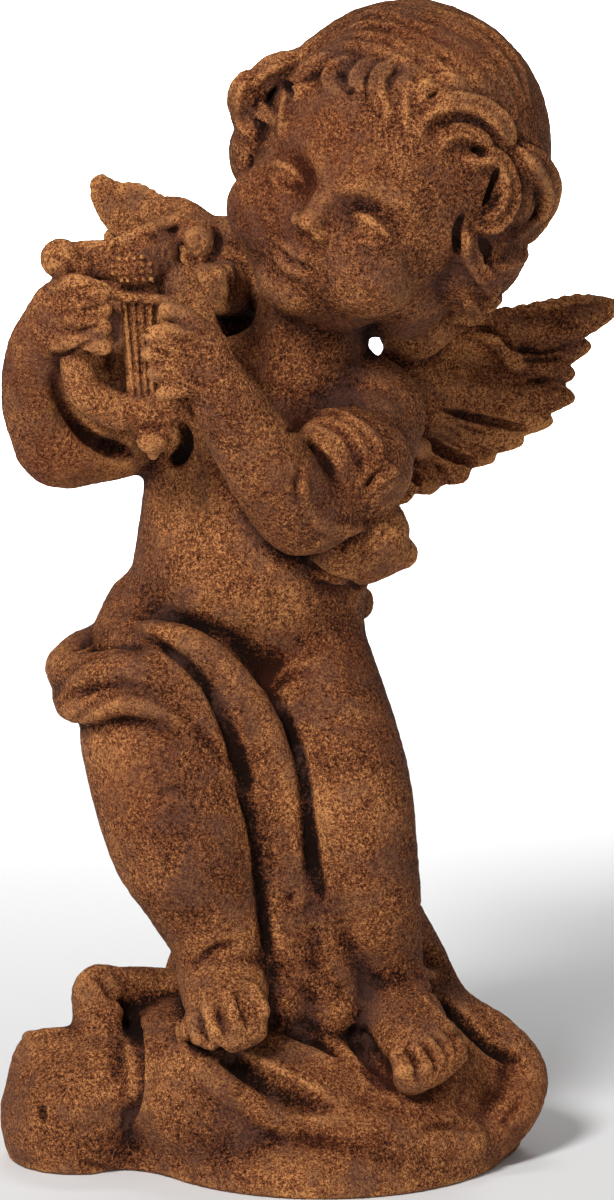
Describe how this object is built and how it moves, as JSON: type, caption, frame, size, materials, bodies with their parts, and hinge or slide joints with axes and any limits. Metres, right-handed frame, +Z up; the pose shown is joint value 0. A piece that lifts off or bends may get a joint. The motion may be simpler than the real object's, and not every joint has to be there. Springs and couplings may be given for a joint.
{
  "type": "angel figurine",
  "caption": "Cast figurine of a winged child playing a small lyre, seated on a draped mound, with a rusted iron finish.",
  "frame": {"origin": "on the flat underside, below the middle of the mound", "axes": "+Z up, -Y to the front, which the knees and feet point to, +X to the viewer's right"},
  "size_m": [0.2157, 0.1533, 0.4013],
  "materials": {
    "rusted_iron": "matte orange-brown rust with darker patches, sandy as cast"
  },
  "bodies": {
    "root": {"figure": "rusted_iron"}
  },
  "joints": []
}
